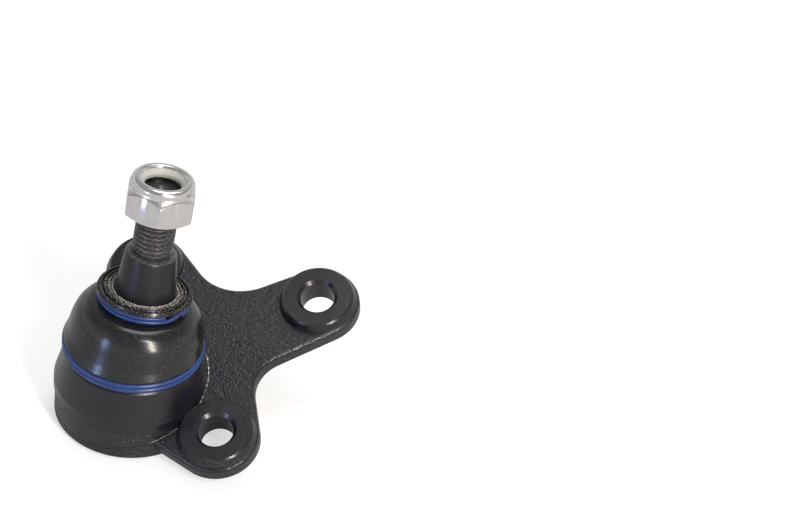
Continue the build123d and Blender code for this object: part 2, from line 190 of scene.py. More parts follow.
# ---- Meshes ---------------------------------------------------------------------------------------
def rounded(corners, step=math.radians(20)):
    """An open outline through (radius, height, round) corners, in millimetres, with arcs at the corners."""
    points = [np.array(corners[0][:2], float)]
    for before, corner, after in zip(corners, corners[1:], corners[2:]):
        here = np.array(corner[:2], float)
        back = np.array(before[:2], float) - here
        on = np.array(after[:2], float) - here
        back_length = np.linalg.norm(back)
        on_length = np.linalg.norm(on)
        back = back / back_length
        on = on / on_length
        half = math.acos(max(-1.0, min(1.0, float(back @ on)))) / 2
        radius = corner[2] if len(corner) > 2 else 0.0
        reach = radius / math.tan(half)
        if radius <= 0 or half > math.radians(88):
            points.append(here)
            continue
        longest = 0.49 * min(back_length, on_length)
        if reach > longest:
            reach = longest
            radius = reach * math.tan(half)
        centre = here + (back + on) / np.linalg.norm(back + on) * (radius / math.sin(half))
        first = here + back * reach - centre
        last = here + on * reach - centre
        turn = math.atan2(first[0] * last[1] - first[1] * last[0], float(first @ last))
        count = max(2, math.ceil(abs(turn) / step))
        for share in np.linspace(0, 1, count + 1):
            cos_a = math.cos(turn * share)
            sin_a = math.sin(turn * share)
            points.append(
                centre
                + np.array(
                    (first[0] * cos_a - first[1] * sin_a, first[0] * sin_a + first[1] * cos_a)
                )
            )
    points.append(np.array(corners[-1][:2], float))
    return np.array(points)


def lathe_rings(outline, segments):
    """The rings of a turned form: an array of outline points by segments by 3, in millimetres."""
    angle = np.linspace(0, 2 * math.pi, segments, endpoint=False)
    radius = outline[:, 0][:, None]
    height = np.repeat(outline[:, 1][:, None], segments, axis=1)
    return np.stack([radius * np.cos(angle), radius * np.sin(angle), height], axis=2)


def skin(rings, around=True, loop=False):
    """Vertices and four-sided faces over a grid of rings; around closes each ring, loop the stack."""
    rows, columns = rings.shape[:2]
    index = np.arange(rows * columns).reshape(rows, columns)
    if around:
        index = np.column_stack([index, index[:, 0]])
    if loop:
        index = np.vstack([index, index[:1]])
    faces = np.stack(
        [index[:-1, :-1], index[:-1, 1:], index[1:, 1:], index[1:, :-1]], axis=-1
    ).reshape(-1, 4)
    return rings.reshape(-1, 3), faces


def tube_rings(path, radius, sides):
    """Rings of a round wire, of one radius or one for each point of its path, with rounded ends."""
    forward = np.gradient(path, axis=0)
    forward /= np.linalg.norm(forward, axis=1)[:, None]
    up = np.array((0.0, 0.0, 1.0))
    across = np.cross(forward, up)
    across /= np.linalg.norm(across, axis=1)[:, None]
    rise = np.cross(across, forward)
    angle = np.linspace(0, 2 * math.pi, sides, endpoint=False)
    circle = (
        across[:, None, :] * np.cos(angle)[None, :, None]
        + rise[:, None, :] * np.sin(angle)[None, :, None]
    )
    radius = np.broadcast_to(radius, len(path))
    body = path[:, None, :] + circle * radius[:, None, None]
    start = [
        path[0] - forward[0] * radius[0] * out + circle[0] * radius[0] * wide
        for out, wide in ((0.16, 0.02), (0.15, 0.6), (0.1, 0.85))
    ]
    end = [
        path[-1] + forward[-1] * radius[-1] * out + circle[-1] * radius[-1] * wide
        for out, wide in ((0.1, 0.85), (0.15, 0.6), (0.16, 0.02))
    ]
    return np.concatenate([np.array(start), body, np.array(end)])


def build_piece(name, parts, material, sharp=math.radians(32), basis=None):
    """One mesh object from (vertices, faces) parts in millimetres, turned into the row frame."""
    mesh = bpy.data.meshes.new(name)
    form = bmesh.new()
    for vertices, faces in parts:
        placed = vertices @ basis.T if basis is not None else vertices
        made = [form.verts.new(point) for point in (placed * MM).tolist()]
        for face in faces.tolist():
            corners = [made[i] for i in dict.fromkeys(face)]
            if len(corners) > 2:
                form.faces.new(corners)
    bmesh.ops.remove_doubles(form, verts=form.verts, dist=1e-7)
    bmesh.ops.dissolve_degenerate(form, edges=form.edges, dist=1e-7)
    bmesh.ops.recalc_face_normals(form, faces=form.faces)
    form.to_mesh(mesh)
    form.free()
    mesh.shade_smooth()
    mesh.set_sharp_from_angle(angle=sharp)
    mesh.materials.append(material)
    piece = bpy.data.objects.new(name, mesh)
    bpy.context.scene.collection.objects.link(piece)
    return piece


# ---- Materials ------------------------------------------------------------------------------------
def add_node(tree, kind, inputs=None, **settings):
    """Adds a node, sets its properties, and sets or links its inputs by name or number."""
    made = tree.nodes.new(kind)
    for key, value in settings.items():
        setattr(made, key, value)
    for key, value in (inputs or {}).items():
        if isinstance(value, bpy.types.NodeSocket):
            tree.links.new(value, made.inputs[key])
        else:
            made.inputs[key].default_value = value
    return made


def new_material(name):
    """An empty node material with a Principled shader and an output."""
    material = bpy.data.materials.new(name)
    material.use_nodes = True
    tree = material.node_tree
    tree.nodes.clear()
    shader = add_node(tree, "ShaderNodeBsdfPrincipled")
    add_node(tree, "ShaderNodeOutputMaterial", {"Surface": shader.outputs["BSDF"]})
    return material, tree, shader


def object_millimetres(tree):
    """The place on the object in millimetres, for patterns of a real size."""
    place = add_node(tree, "ShaderNodeTexCoord").outputs["Object"]
    return add_node(
        tree, "ShaderNodeVectorMath", {0: place, "Scale": 1 / MM}, operation="SCALE"
    ).outputs[0]


def dress(node, material):
    """Gives a carried-over CAD node its finish."""
    mesh = frame["nodes"][node].data
    mesh.materials.clear()
    mesh.materials.append(material)


def painted_forging(colours):
    """Forged steel, shot blasted and dipped in black paint: a grained satin skin, smooth where turned.

    The eye sees fine dull grain on the plate, a shine along its rubbed rim, smooth faces on the
    turned seat, spot faces and bores, and bare silver metal with a ragged edge on the crimped lip.
    """
    material, tree, shader = new_material("forged_steel_black_paint")
    millimetres = object_millimetres(tree)
    axes = add_node(tree, "ShaderNodeSeparateXYZ", {0: millimetres}).outputs
    flat = add_node(tree, "ShaderNodeVectorMath", {0: millimetres, 1: (1, 1, 0)}, operation="MULTIPLY")
    radius = add_node(
        tree, "ShaderNodeVectorMath", {0: flat.outputs[0]}, operation="LENGTH"
    ).outputs["Value"]
    above = add_node(
        tree,
        "ShaderNodeVectorMath",
        {0: millimetres, 1: tuple(flange_normal)},
        operation="DOT_PRODUCT",
    ).outputs["Value"]

    # Forged grain: marks about 0.8 mm wide, drawn out to about 2.3 mm by the metal's flow, under
    # blast grain. Real blast grain is about 0.1 mm, so it is drawn at 0.6 mm to show
    flow_turn = math.radians(-54)
    flow_stretch = 2.8
    flow = add_node(
        tree,
        "ShaderNodeMapping",
        {
            "Vector": millimetres,
            "Rotation": (0.0, 0.0, flow_turn),
            "Scale": (flow_stretch, 1.0, 1.0),
        },
        vector_type="TEXTURE",
    ).outputs[0]
    pits = add_node(
        tree,
        "ShaderNodeTexNoise",
        {"Vector": flow, "Scale": 1.2, "Detail": 3.0, "Roughness": 0.6},
    ).outputs[0]
    grain = add_node(
        tree,
        "ShaderNodeTexNoise",
        {"Vector": millimetres, "Scale": 1.7, "Detail": 2.0, "Roughness": 0.55},
    ).outputs[0]
    rough_forged = add_node(
        tree, "ShaderNodeMath", {0: pits, 1: 2.0, 2: grain}, operation="MULTIPLY_ADD"
    ).outputs[0]
    # The plate's rim, rubbed smooth in handling from about 0.2 to 1.1 mm under its top
    over_rim = add_node(
        tree,
        "ShaderNodeMapRange",
        {0: above, 1: PLATE_TOP - 1.2, 2: PLATE_TOP - 1.0, 3: 0.0, 4: 1.0},
    ).outputs[0]
    under_top = add_node(
        tree,
        "ShaderNodeMapRange",
        {0: above, 1: PLATE_TOP - 0.25, 2: PLATE_TOP - 0.1, 3: 1.0, 4: 0.0},
    ).outputs[0]
    rubbed = add_node(
        tree, "ShaderNodeMath", {0: over_rim, 1: under_top}, operation="MULTIPLY"
    ).outputs[0]
    kept = add_node(
        tree, "ShaderNodeMapRange", {0: rubbed, 1: 0.0, 2: 1.0, 3: 1.0, 4: 0.35}
    ).outputs[0]
    forged = add_node(
        tree, "ShaderNodeMath", {0: rough_forged, 1: kept}, operation="MULTIPLY"
    ).outputs[0]

    # Smooth with faint tool rings where turned: all that stands above the plate and the ledge, and
    # the bores with a narrow edge round them
    over = add_node(
        tree,
        "ShaderNodeMapRange",
        {0: above, 1: PLATE_TOP - 0.3, 2: PLATE_TOP + 0.2, 3: 0.0, 4: 1.0},
    ).outputs[0]
    over_ledge = add_node(
        tree,
        "ShaderNodeMapRange",
        {0: axes[2], 1: LEDGE_HEIGHT - 0.1, 2: LEDGE_HEIGHT + 0.1, 3: 0.0, 4: 1.0},
    ).outputs[0]
    turned = add_node(
        tree, "ShaderNodeMath", {0: over, 1: over_ledge}, operation="MULTIPLY"
    ).outputs[0]
    for hole in bolt_holes.values():
        off = add_node(
            tree,
            "ShaderNodeVectorMath",
            {0: millimetres, 1: tuple(flange_basis @ hole)},
            operation="SUBTRACT",
        ).outputs[0]
        out = add_node(
            tree, "ShaderNodeVectorMath", {0: off, 1: tuple(flange_normal)}, operation="CROSS_PRODUCT"
        ).outputs[0]
        reach = add_node(tree, "ShaderNodeVectorMath", {0: out}, operation="LENGTH").outputs["Value"]
        bored = add_node(
            tree, "ShaderNodeMath", {0: reach, 1: hole_radius + 0.15}, operation="LESS_THAN"
        ).outputs[0]
        turned = add_node(
            tree, "ShaderNodeMath", {0: turned, 1: bored}, operation="MAXIMUM"
        ).outputs[0]
    rings = add_node(
        tree,
        "ShaderNodeTexWave",
        {"Vector": millimetres, "Scale": 0.32, "Distortion": 0.6, "Detail": 1.0},
        bands_direction="Z",
    ).outputs["Fac"]
    faint_rings = add_node(
        tree, "ShaderNodeMath", {0: rings, 1: 0.12, 2: grain}, operation="MULTIPLY_ADD"
    ).outputs[0]
    seat_relief = add_node(
        tree, "ShaderNodeMath", {0: faint_rings, 1: 0.08}, operation="MULTIPLY"
    ).outputs[0]
    relief = add_node(
        tree,
        "ShaderNodeMix",
        {"Factor": turned, "A": forged, "B": seat_relief},
        data_type="FLOAT",
    ).outputs["Result"]
    bump = add_node(
        tree, "ShaderNodeBump", {"Height": relief, "Strength": 1.0, "Distance": 0.4 * MM}
    )

    # Bare metal on the crimped lip, to an uneven edge from 0 to 1.8 mm outside its radius
    ragged = add_node(
        tree,
        "ShaderNodeTexNoise",
        {"Vector": millimetres, "Scale": 0.55, "Detail": 5.0, "Roughness": 0.75},
    ).outputs[0]
    lip_edge = add_node(
        tree, "ShaderNodeMath", {0: ragged, 1: 1.8, 2: LIP_RADIUS}, operation="MULTIPLY_ADD"
    ).outputs[0]
    within = add_node(
        tree, "ShaderNodeMath", {0: radius, 1: lip_edge}, operation="LESS_THAN"
    ).outputs[0]
    low = add_node(
        tree, "ShaderNodeMath", {0: axes[2], 1: LIP_HEIGHT}, operation="LESS_THAN"
    ).outputs[0]
    bare = add_node(tree, "ShaderNodeMath", {0: within, 1: low}, operation="MULTIPLY").outputs[0]

    cloud = add_node(
        tree,
        "ShaderNodeTexNoise",
        {"Vector": millimetres, "Scale": 0.07, "Detail": 4.0, "Roughness": 0.6},
    ).outputs[0]
    worn = tinted(colours.paint, 2.4, 0.002)
    paint = add_node(
        tree,
        "ShaderNodeMix",
        {"Factor": cloud, "A": tuple(colours.paint), "B": worn},
        data_type="RGBA",
    ).outputs["Result"]
    steel = add_node(
        tree,
        "ShaderNodeMix",
        {"Factor": ragged, "A": linear("#8f877b"), "B": linear("#d9d6d2")},
        data_type="RGBA",
    ).outputs["Result"]
    colour = add_node(
        tree, "ShaderNodeMix", {"Factor": bare, "A": paint, "B": steel}, data_type="RGBA"
    ).outputs["Result"]
    dull = add_node(
        tree, "ShaderNodeMapRange", {0: cloud, 1: 0.3, 2: 0.7, 3: 0.22, 4: 0.3}
    ).outputs[0]
    sheen = add_node(
        tree, "ShaderNodeMapRange", {0: rubbed, 1: 0.0, 2: 1.0, 3: dull, 4: 0.13}
    ).outputs[0]
    tree.links.new(colour, shader.inputs["Base Color"])
    tree.links.new(sheen, shader.inputs["Roughness"])
    tree.links.new(bare, shader.inputs["Metallic"])
    tree.links.new(bump.outputs[0], shader.inputs["Normal"])
    return material


def speckled(name, base, light, dark, metallic, roughness, spot, bump_height, bump_strength=0.4):
    """A base tone with lighter and darker spots, spot millimetres wide, and fine relief with them."""
    material, tree, shader = new_material(name)
    millimetres = object_millimetres(tree)
    spots = add_node(
        tree,
        "ShaderNodeTexNoise",
        {"Vector": millimetres, "Scale": 1 / spot, "Detail": 4.0, "Roughness": 0.65},
    ).outputs[0]
    ramp = add_node(tree, "ShaderNodeValToRGB", {0: spots})
    ramp.color_ramp.elements[0].position = 0.32
    ramp.color_ramp.elements[0].color = dark
    ramp.color_ramp.elements[1].position = 0.5
    ramp.color_ramp.elements[1].color = base
    high = ramp.color_ramp.elements.new(0.72)
    high.color = light
    bump = add_node(
        tree,
        "ShaderNodeBump",
        {"Height": spots, "Strength": bump_strength, "Distance": bump_height * MM},
    )
    uneven = add_node(
        tree,
        "ShaderNodeMapRange",
        {0: spots, 1: 0.3, 2: 0.7, 3: roughness - 0.06, 4: roughness + 0.06},
    ).outputs[0]
    tree.links.new(ramp.outputs[0], shader.inputs["Base Color"])
    tree.links.new(uneven, shader.inputs["Roughness"])
    tree.links.new(bump.outputs[0], shader.inputs["Normal"])
    shader.inputs["Metallic"].default_value = metallic
    return material


def tinted(colour, factor, lift=0.0):
    """A colour made lighter or darker by a factor, then lifted."""
    return tuple(min(1.0, channel * factor + lift) for channel in colour[:3]) + (1.0,)


# ---- Operators ------------------------------------------------------------------------------------
class BALLJOINT_OT_forging(bpy.types.Operator):
    """Finish the flange and housing, and knurl the pads under its bolt holes"""

    bl_idname = "balljoint.forging"
    bl_label = "Flange and Housing"

    def execute(self, context):
        sizes = context.scene.ball_joint_sizes
        material = painted_forging(context.scene.ball_joint_colours)
        dress("flange_housing", material)
        for letter, hole in bolt_holes.items():
            knurl_pad(f"pad_knurl_{letter}", hole, sizes, material)
        # Torn steel that the paint has chipped off: bright, sharp and broken along its length
        torn = speckled(
            "torn_steel_bare",
            linear("#b9b5b0"),
            linear("#e2dfdb"),
            linear("#4a4744"),
            metallic=1.0,
            roughness=0.3,
            spot=0.6,
            bump_height=0.2,
            bump_strength=1.0,
        )
        seam_burr("seam_burr", sizes.seam_burr / MM, torn)
        return {"FINISHED"}


def seam_burr(name, thickest, material):
    """A ragged burr along the corner where the turned seat meets the plate."""
    first = -127.0
    last = 96.0
    angle = np.radians(np.linspace(first, last, 700))
    reach = SEAT_RADIUS + 0.04
    across = reach * np.cos(angle)
    along = reach * np.sin(angle)
    height = (PLATE_TOP - flange_normal[0] * across) / flange_normal[2]
    path = np.column_stack([across, along, height])
    random = np.random.default_rng(11)
    coarse = np.interp(angle, angle[::14], random.random(len(angle[::14])))
    fine = np.interp(angle, angle[::3], random.random(len(angle[::3])))
    swell = np.clip(coarse * 1.2 + fine * 0.7 - 0.65, 0.1, 1.0)
    piece = build_piece(name, [skin(tube_rings(path, thickest * swell, 8))], material)
    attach(piece, "housing")


def knurl_pad(name, hole, sizes, material):
    """A thin ring of diamond points pressed into the pad round a bolt hole."""
    pad_face = in_flange(mounts["pad_b"]["pos_m"])[2]
    inner = hole_radius + 0.75
    outer = 10.7
    pitch = sizes.knurl_pitch / MM
    height = sizes.knurl_height / MM
    rows = 60
    columns = 360
    fade = 0.5
    sunk = 0.03
    angle = np.linspace(0, 2 * math.pi, columns, endpoint=False)
    radius = np.linspace(inner, outer, rows)[:, None]
    across = radius * np.cos(angle)
    along = radius * np.sin(angle)
    first = np.abs(((across + along) / pitch / math.sqrt(2)) % 1 - 0.5) * 2
    second = np.abs(((across - along) / pitch / math.sqrt(2)) % 1 - 0.5) * 2
    points = np.minimum(first, second) * height
    edge = np.clip(np.minimum(radius - inner, outer - radius) / fade, 0, 1)
    drop = points * edge - sunk
    rings = np.stack([hole[0] + across, hole[1] + along, pad_face - drop], axis=2)
    vertices, faces = skin(rings)
    piece = build_piece(name, [(vertices, faces[:, ::-1])], material, basis=flange_basis)
    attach(piece, "housing")


class BALLJOINT_OT_bearing(bpy.types.Operator):
    """Finish the race and the closing ring"""

    bl_idname = "balljoint.bearing"
    bl_label = "Race and Closing Ring"

    def execute(self, context):
        colours = context.scene.ball_joint_colours
        # Stamped steel with a thick grey-brown phosphate: dead matt, finely mottled
        phosphate = speckled(
            "stamped_steel_phosphated",
            tuple(colours.phosphate),
            tinted(colours.phosphate, 1.25),
            tinted(colours.phosphate, 0.7),
            metallic=0.35,
            roughness=0.62,
            spot=0.5,
            bump_height=0.03,
        )
        dress("closing_ring", phosphate)
        # Acetal from a polished mould: black with a soft even shine
        acetal = speckled(
            "acetal_black_moulded",
            tuple(colours.acetal),
            tinted(colours.acetal, 1.3),
            tinted(colours.acetal, 0.8),
            metallic=0.0,
            roughness=0.27,
            spot=4.0,
            bump_height=0.01,
            bump_strength=0.2,
        )
        dress("lower_bearing_shell", acetal)
        dress("upper_bearing_shell", acetal)
        return {"FINISHED"}


class BALLJOINT_OT_stud(bpy.types.Operator):
    """Build the ball stud with its cone, undercut and thread"""

    bl_idname = "balljoint.stud"
    bl_label = "Ball Stud"

    def execute(self, context):
        sizes = context.scene.ball_joint_sizes
        colours = context.scene.ball_joint_colours
        # Turned steel, blackened and oiled: dark grey with a dull metal shine
        steel = speckled(
            "turned_steel_blackened",
            tuple(colours.stud),
            tinted(colours.stud, 1.5, 0.004),
            tinted(colours.stud, 0.7),
            metallic=0.35,
            roughness=0.36,
            spot=0.9,
            bump_height=0.02,
        )
        # The same steel, its blacking worn thin on the thread and undercut: greyer, with light flecks. On the
        # undercut's shoulder face, which the nut shades, this lighter grey is also painted light
        worn_steel_and_painted_light = speckled(
            "rolled_steel_worn_thread_and_painted_light",
            linear("#565656"),
            linear("#8b8a8a"),
            linear("#333335"),
            metallic=0.6,
            roughness=0.33,
            spot=0.5,
            bump_height=0.015,
        )
        segments = 120
        neck = 7.0
        neck_start = math.sqrt(BALL_RADIUS ** 2 - neck ** 2)
        polar = np.linspace(-math.pi / 2 + 0.02, math.asin(neck_start / BALL_RADIUS), 40)
        ball_outline = BALL_RADIUS * np.column_stack([np.cos(polar), np.sin(polar)])
        thread_root = THREAD_RADIUS - sizes.thread_depth / MM
        shank_outline = rounded(
            [
                (neck, neck_start),
                (neck, 15.5, 1.5),
                (9.0, 20.5, 1.5),
                (9.0, 28.0, 2.0),
                (7.65, CONE_END, 0.8),
                (6.5, 42.0, 0.5),
                (5.5, 42.1, 0.2),
                (thread_root, THREAD_START),
            ]
        )
        lower = lathe_rings(np.vstack([ball_outline, shank_outline[1:]]), segments)
        thread = thread_rings(
            THREAD_RADIUS,
            sizes.thread_depth / MM,
            sizes.thread_pitch / MM,
            THREAD_START,
            THREAD_END,
            segments,
        )
        top_outline = rounded(
            [
                (thread_root, THREAD_END),
                (4.9, 62.5, 0.1),
                (2.2, 62.5, 0.15),
                (0.8, 60.6, 0.2),
                (0.02, 60.4),
            ]
        )
        top = lathe_rings(top_outline, segments)
        piece = build_piece(
            "ball_stud_turned",
            [skin(lower), skin(thread, around=False), skin(top)],
            steel,
            basis=stud_basis,
        )
        piece.data.materials.append(worn_steel_and_painted_light)
        # Worn lighter steel from the cone's end to the thread's end; on the shaded shoulder face it is painted
        # light
        for face in piece.data.polygons:
            along = np.dot(face.center, stud_axis) / MM
            if CONE_END < along < THREAD_END - 0.1:
                face.material_index = 1
        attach(piece, "stud")
        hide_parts("ball_stud")
        return {"FINISHED"}


def thread_rings(radius, depth, pitch, start, end, segments):
    """Rings that climb one pitch a turn, with crests, flanks and roots between start and end."""
    profile = [(0.0, 0.0), (0.14, 0.0), (0.33, 0.5), (0.5, 0.95), (0.6, 1.0), (0.7, 0.9), (0.86, 0.45)]
    turns = math.ceil((end - start) / pitch) + 1
    share = np.linspace(0, 1, segments + 1)
    angle = share * 2 * math.pi
    rings = []
    for turn in range(-1, turns):
        for phase, sunk in profile:
            free = start + pitch * (turn + phase + share)
            height = np.clip(free, start, end)
            edge = np.minimum(height - start, end - height)
            fade = np.clip(edge / (0.9 * depth), 0, 1)
            reach = radius - depth + depth * (1 - sunk) * fade
            rings.append(np.column_stack([reach * np.cos(angle), reach * np.sin(angle), height]))
    return np.array(rings)


class BALLJOINT_OT_nut(bpy.types.Operator):
    """Build the lock nut with its rolled collar and nylon ring"""

    bl_idname = "balljoint.nut"
    bl_label = "Lock Nut"

    def execute(self, context):
        sizes = context.scene.ball_joint_sizes
        colours = context.scene.ball_joint_colours
        # Cold-formed steel with bright zinc plate: silvery, soft reflections, faint handling marks
        zinc = speckled(
            "cold_formed_steel_zinc_plated",
            tuple(colours.zinc),
            tinted(colours.zinc, 1.04),
            tinted(colours.zinc, 0.95),
            metallic=1.0,
            roughness=0.2,
            spot=2.2,
            bump_height=0.02,
            bump_strength=0.15,
        )
        # Nylon punched from sheet: off-white and waxy, with a wide soft sheen
        nylon = speckled(
            "nylon_natural_punched",
            tuple(colours.nylon),
            tinted(colours.nylon, 1.08),
            tinted(colours.nylon, 0.88),
            metallic=0.0,
            roughness=0.5,
            spot=0.8,
            bump_height=0.02,
        )
        segments = 360
        angle = np.linspace(0, 2 * math.pi, segments, endpoint=False)
        flat = sizes.nut_across_flats / MM / 2
        corner = flat / math.cos(math.radians(30))
        sharp = flat / np.cos((angle % math.radians(60)) - math.radians(30))
        worn = corner - sizes.nut_corner_round / MM
        softness = 55.0
        hexagon = -np.log(np.exp(-softness * sharp) + math.exp(-softness * worn)) / softness
        hexagon = hexagon + (flat - hexagon.min())
        edge_radius = 9.35
        lower_drop = np.clip((hexagon - edge_radius) * math.tan(math.radians(30)), 0.02, None)
        upper_drop = np.clip((hexagon - edge_radius) * math.tan(math.radians(42)), 0.02, None)
        hex_height = 8.6
        height = 11.68
        collar = 9.3
        pocket = 8.5
        rows = [
            (NUT_BORE, pocket),
            (NUT_BORE, 0.8),
            (6.85, 0.0),
            (edge_radius - 0.12, 0.0),
            (hexagon - 0.05, lower_drop - 0.03),
            (hexagon, lower_drop + 0.06),
            (hexagon, hex_height - upper_drop - 0.06),
            (hexagon - 0.04, hex_height - upper_drop + 0.03),
        ]
        collar_outline = rounded(
            [
                (edge_radius, hex_height),
                (collar, hex_height + 0.1, 0.2),
                (collar - 0.22, hex_height + 0.75, 0.5),
                (collar, height - 1.1, 1.2),
                (8.5, height, 1.1),
                (7.0, height - 0.02, 0.5),
                (6.6, height - 0.6, 0.3),
                (6.8, height - 0.75, 0.05),
                (7.3, height - 0.8, 0.05),
                (7.3, pocket, 0.05),
                (NUT_BORE, pocket),
            ]
        )
        rows += list(collar_outline[:-1])
        rings = np.array(
            [
                np.column_stack(
                    [r * np.cos(angle), r * np.sin(angle), np.broadcast_to(z, segments)]
                )
                for r, z in rows
            ]
        )
        cos_turn = math.cos(NUT_TURN)
        sin_turn = math.sin(NUT_TURN)
        turned_basis = stud_basis @ np.array(
            ((cos_turn, -sin_turn, 0), (sin_turn, cos_turn, 0), (0, 0, 1))
        )
        lift = np.array((0, 0, NUT_START))
        vertices, faces = skin(rings, loop=True)
        piece = build_piece(
            "lock_nut_plated", [(vertices + lift, faces)], zinc, math.radians(24), turned_basis
        )
        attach(piece, "stud")
        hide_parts("lock_nut")
        insert_outline = rounded(
            [
                (7.25, 8.55, 0.0),
                (7.25, 10.95, 0.1),
                (6.5, 10.85, 0.6),
                (5.3, 9.7, 0.8),
                (5.3, 8.55, 0.2),
                (7.25, 8.55),
            ]
        )
        vertices, faces = skin(lathe_rings(insert_outline[:-1], 96), loop=True)
        ring = build_piece(
            "nylon_locking_ring", [(vertices + lift, faces)], nylon, math.radians(40), turned_basis
        )
        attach(ring, "stud")
        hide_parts("nut_insert")
        return {"FINISHED"}


class BALLJOINT_OT_boot(bpy.types.Operator):
    """Build the dust boot, its shape bent from the housing's axis towards the stud's"""

    bl_idname = "balljoint.boot"
    bl_label = "Dust Boot"

    def execute(self, context):
        sizes = context.scene.ball_joint_sizes
        colours = context.scene.ball_joint_colours
        rubber = boot_rubber(colours)
        rings = boot_rings(sizes.ridge_pitch / MM)
        vertices, faces = skin(rings, loop=True)
        piece = build_piece("dust_boot_rubber", [(vertices, faces)], rubber, math.radians(50))
        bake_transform(piece)
        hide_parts("dust_boot")
        return {"FINISHED"}


def boot_rubber(colours):
    """Chloroprene rubber, moulded: satin black, with pale dirt on its ridged top and faint flecks."""
    material, tree, shader = new_material("chloroprene_rubber_moulded")
    millimetres = object_millimetres(tree)
    along = add_node(
        tree, "ShaderNodeVectorMath", {0: millimetres, 1: tuple(stud_axis)}, operation="DOT_PRODUCT"
    ).outputs["Value"]
    fine = add_node(
        tree,
        "ShaderNodeTexNoise",
        {"Vector": millimetres, "Scale": 2.2, "Detail": 3.0, "Roughness": 0.6},
    ).outputs[0]
    dirt = add_node(
        tree,
        "ShaderNodeTexNoise",
        {"Vector": millimetres, "Scale": 3.2, "Detail": 2.0, "Roughness": 0.7},
    ).outputs[0]
    # Dirt on the ridged top, where grease holds it, thinner away from the stud
    near_top = add_node(
        tree, "ShaderNodeMapRange", {0: along, 1: 27.2, 2: 27.9, 3: 0.0, 4: 1.0}
    ).outputs[0]
    out = add_node(
        tree, "ShaderNodeVectorMath", {0: millimetres, 1: tuple(stud_axis)}, operation="CROSS_PRODUCT"
    ).outputs[0]
    reach = add_node(tree, "ShaderNodeVectorMath", {0: out}, operation="LENGTH").outputs["Value"]
    cleaner = add_node(
        tree, "ShaderNodeMapRange", {0: reach, 1: 9.4, 2: 12.6, 3: 0.0, 4: 0.17}
    ).outputs[0]
    held = add_node(tree, "ShaderNodeMath", {0: dirt, 1: cleaner}, operation="SUBTRACT").outputs[0]
    specks = add_node(
        tree, "ShaderNodeMapRange", {0: held, 1: 0.46, 2: 0.52, 3: 0.0, 4: 1.0}
    ).outputs[0]
    ridged = add_node(tree, "ShaderNodeMath", {0: near_top, 1: specks}, operation="MULTIPLY").outputs[0]
    # Faint flecks over all of it
    flecks = add_node(
        tree, "ShaderNodeMapRange", {0: dirt, 1: 0.66, 2: 0.7, 3: 0.0, 4: 0.35}
    ).outputs[0]
    dusty = add_node(tree, "ShaderNodeMath", {0: ridged, 1: flecks}, operation="MAXIMUM").outputs[0]
    colour = add_node(
        tree,
        "ShaderNodeMix",
        {"Factor": dusty, "A": tuple(colours.rubber), "B": linear("#c2bfba")},
        data_type="RGBA",
    ).outputs["Result"]
    uneven = add_node(
        tree, "ShaderNodeMapRange", {0: fine, 1: 0.3, 2: 0.7, 3: 0.18, 4: 0.25}
    ).outputs[0]
    bump = add_node(
        tree, "ShaderNodeBump", {"Height": fine, "Strength": 0.2, "Distance": 0.03 * MM}
    )
    tree.links.new(colour, shader.inputs["Base Color"])
    tree.links.new(uneven, shader.inputs["Roughness"])
    tree.links.new(bump.outputs[0], shader.inputs["Normal"])
    return material


def boot_rings(ridge_pitch):
    """The boot's closed skin: foot, band, dome, ring groove, labyrinth collar, bore and inner wall."""
    rise = math.cos(stud_lean)
    spine_height = [8.5, 12.7, 14.0, 15.4, 17.2, 20.2, 22.2, 24.0, 24.7, 30.0]
    spine_offset = [0.0, 0.0, 0.3, 0.55, 0.7, 0.7, 0.7, 0.7, 1.0, 1.0]
    spine_lean = [0.0, 0.0, 0.1, 0.3, 0.5, 0.8, 1.0, 1.0, 1.0, 1.0]
    collar_top = 28.2 * rise
    rim = 27.6 * rise
    outer = [
        (17.8, 8.52, 0.1),
        (20.2, 8.5, 0.2),
        (20.2, 8.98, 0.15),
        (19.55, 9.0, 0.15),
        (19.55, 12.3, 0.3),
        (20.6, 12.42, 0.25),
        (20.6, 12.9, 0.4),
        (20.2, 14.6, 3.0),
        (19.9, 17.2, 5.0),
        (18.8, 20.2, 6.0),
        (17.4, 22.2, 3.0),
        (16.1, 23.4, 1.6),
        (14.9, 24.0, 1.0),
        (12.6, 24.3, 0.25),
        (12.6, rim, 0.15),
        (14.1, rim + 0.02, 0.2),
        (14.1, collar_top, 0.22),
    ]
    top = []
    for ridge in (3, 2, 1, 0):
        crest = 9.66 + ridge * ridge_pitch
        top += [
            (crest + 0.42, collar_top - 0.35, 0.1),
            (crest + 0.14, collar_top + 0.5, 0.1),
            (crest - 0.14, collar_top + 0.5, 0.1),
            (crest - 0.42, collar_top - 0.35, 0.1),
        ]
    inner = [
        (9.06, collar_top - 0.5, 0.1),
        (9.06, 22.4 * rise, 0.2),
        (11.5, 22.1 * rise, 0.5),
        (14.6, 21.6, 1.2),
        (16.6, 20.0, 2.0),
        (17.9, 17.8, 3.0),
        (18.2, 15.4, 2.0),
        (18.4, 12.9, 0.2),
        (18.4, 11.8, 0.1),
        (17.7, 11.7, 0.1),
        (17.7, 8.55, 0.1),
        (17.8, 8.52),
    ]
    outline = rounded(outer + top + inner, math.radians(15))[:-1]
    segments = 160
    angle = np.linspace(0, 2 * math.pi, segments, endpoint=False)
    heading = stud_axis[:2] / np.linalg.norm(stud_axis[:2])
    rings = []
    for radius, height in outline:
        offset = np.interp(height, spine_height, spine_offset)
        turn = stud_lean * np.interp(height, spine_height, spine_lean)
        centre = np.array((*(stud_axis[:2] / stud_axis[2] * height * offset), height))
        across = np.array((*(heading * math.cos(turn)), -math.sin(turn)))
        side = np.array((-heading[1], heading[0], 0.0))
        rings.append(
            centre
            + radius * (np.cos(angle)[:, None] * across + np.sin(angle)[:, None] * side)
        )
    return np.array(rings)


